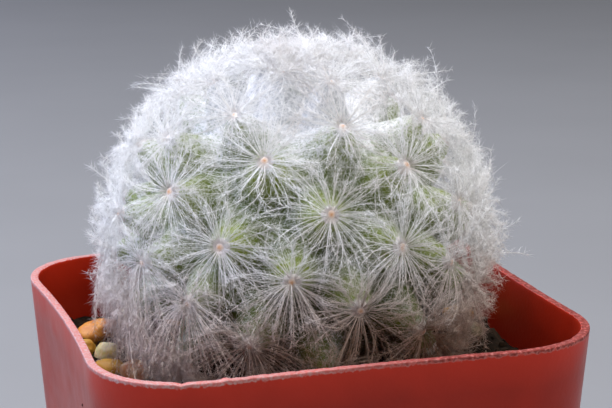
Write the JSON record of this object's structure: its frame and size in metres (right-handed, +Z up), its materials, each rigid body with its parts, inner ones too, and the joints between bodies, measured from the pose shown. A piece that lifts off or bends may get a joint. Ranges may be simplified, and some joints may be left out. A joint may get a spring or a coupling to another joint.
{
  "type": "potted feather cactus",
  "caption": "Small round cactus covered in stars of white feathery spines, growing in soil with loose pebbles in a tapered square plastic pot.",
  "frame": {"origin": "middle of the pot's underside", "axes": "+Z up, along the height; +X along the pot's front side; +Y to the pot's back"},
  "size_m": [0.0532, 0.0534, 0.0805],
  "materials": {
    "pot_plastic": "satin moulded plastic with a rough, paler rim",
    "soil": "damp crumbly potting soil",
    "spine_white": "soft white feathery spines",
    "tubercle_green": "smooth waxy plant skin",
    "areole_tan": "dry tan areole with short wool",
    "pebble_amber": "smooth river pebble",
    "pebble_gold": "smooth river pebble",
    "pebble_cream": "smooth river pebble",
    "pebble_peach": "smooth river pebble",
    "pebble_olive": "dull river pebble"
  },
  "bodies": {
    "root": {"pot": "pot_plastic", "soil": "soil", "cactus": "spine_white", "pebble_01": "pebble_amber", "pebble_02": "pebble_gold", "pebble_03": "pebble_cream", "pebble_04": "pebble_gold", "pebble_05": "pebble_peach", "pebble_06": "pebble_gold", "pebble_07": "pebble_cream", "pebble_08": "pebble_amber", "pebble_09": "pebble_olive", "pebble_10": "pebble_gold", "pebble_11": "pebble_olive", "pebble_12": "pebble_amber", "pebble_13": "pebble_peach", "pebble_14": "pebble_olive", "pebble_15": "pebble_gold", "pebble_16": "pebble_amber", "pebble_17": "pebble_cream", "pebble_18": "pebble_peach"}
  },
  "joints": []
}
